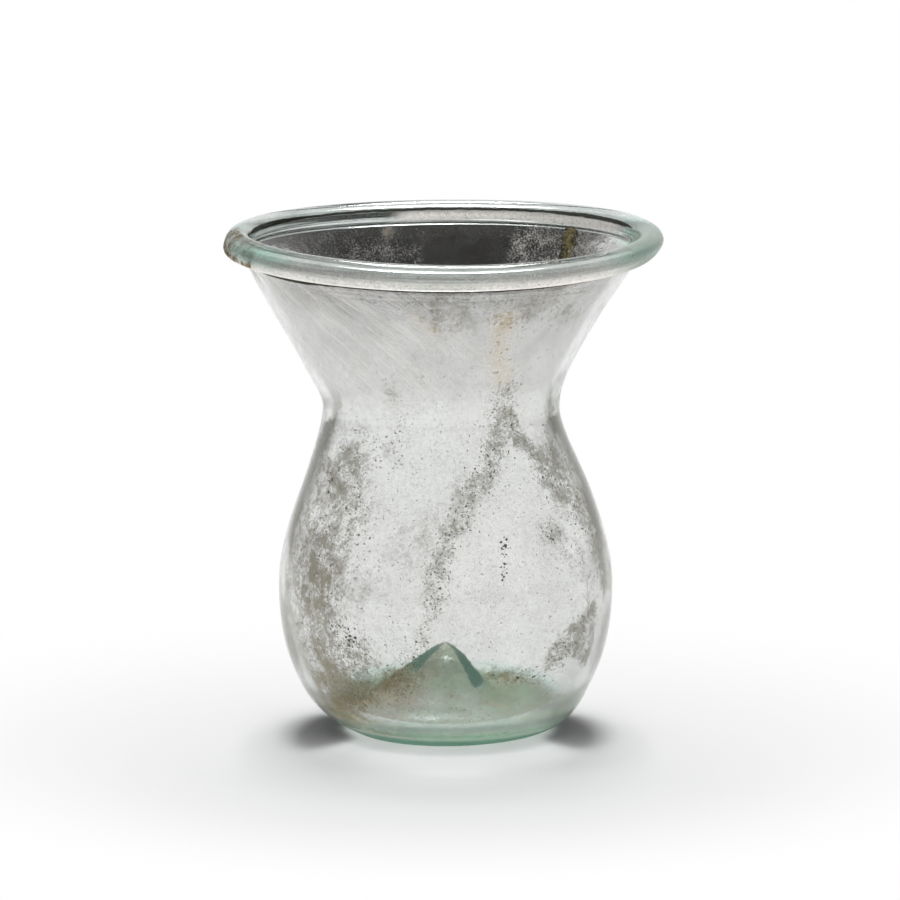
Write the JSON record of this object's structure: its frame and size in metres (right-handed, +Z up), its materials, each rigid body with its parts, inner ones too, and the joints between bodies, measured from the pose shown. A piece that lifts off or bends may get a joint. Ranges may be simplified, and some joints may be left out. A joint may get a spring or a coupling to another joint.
{
  "type": "blown glass jar",
  "caption": "Free-blown glass jar with a flaring funnel mouth, a folded rim, a narrow neck, a pear-shaped belly and a base pushed up into a cone.",
  "frame": {"origin": "on the resting plane, under the middle of the jar", "axes": "+Z up out of the mouth, -Y towards the side that the picture shows"},
  "size_m": [0.0802, 0.08, 0.0935],
  "materials": {
    "pale_glass": "pale blue-green blown glass, glossy, with a milky weathering film",
    "green_glass": "thicker, visibly green blown glass, fire-polished and glossy",
    "scar_glass": "broken green glass, rough and whitish on its edges",
    "dark_soil": "dark burial soil packed in a crease, matt",
    "grey_soil": "grey-brown burial soil in fine grains, matt",
    "olive_soil": "olive-grey burial soil, matt",
    "tan_soil": "tan burial soil with brown grains, matt"
  },
  "bodies": {
    "root": {"vessel_wall": "pale_glass", "rim_fold": "green_glass", "pontil_wad": "scar_glass", "crease_soil": "dark_soil", "belly_soil_left": "grey_soil", "belly_soil_band": "grey_soil", "belly_soil_branch": "olive_soil", "belly_soil_right": "olive_soil", "funnel_soil_tan": "tan_soil", "rim_soil_streak": "tan_soil", "base_soil_tan": "tan_soil"}
  },
  "joints": []
}
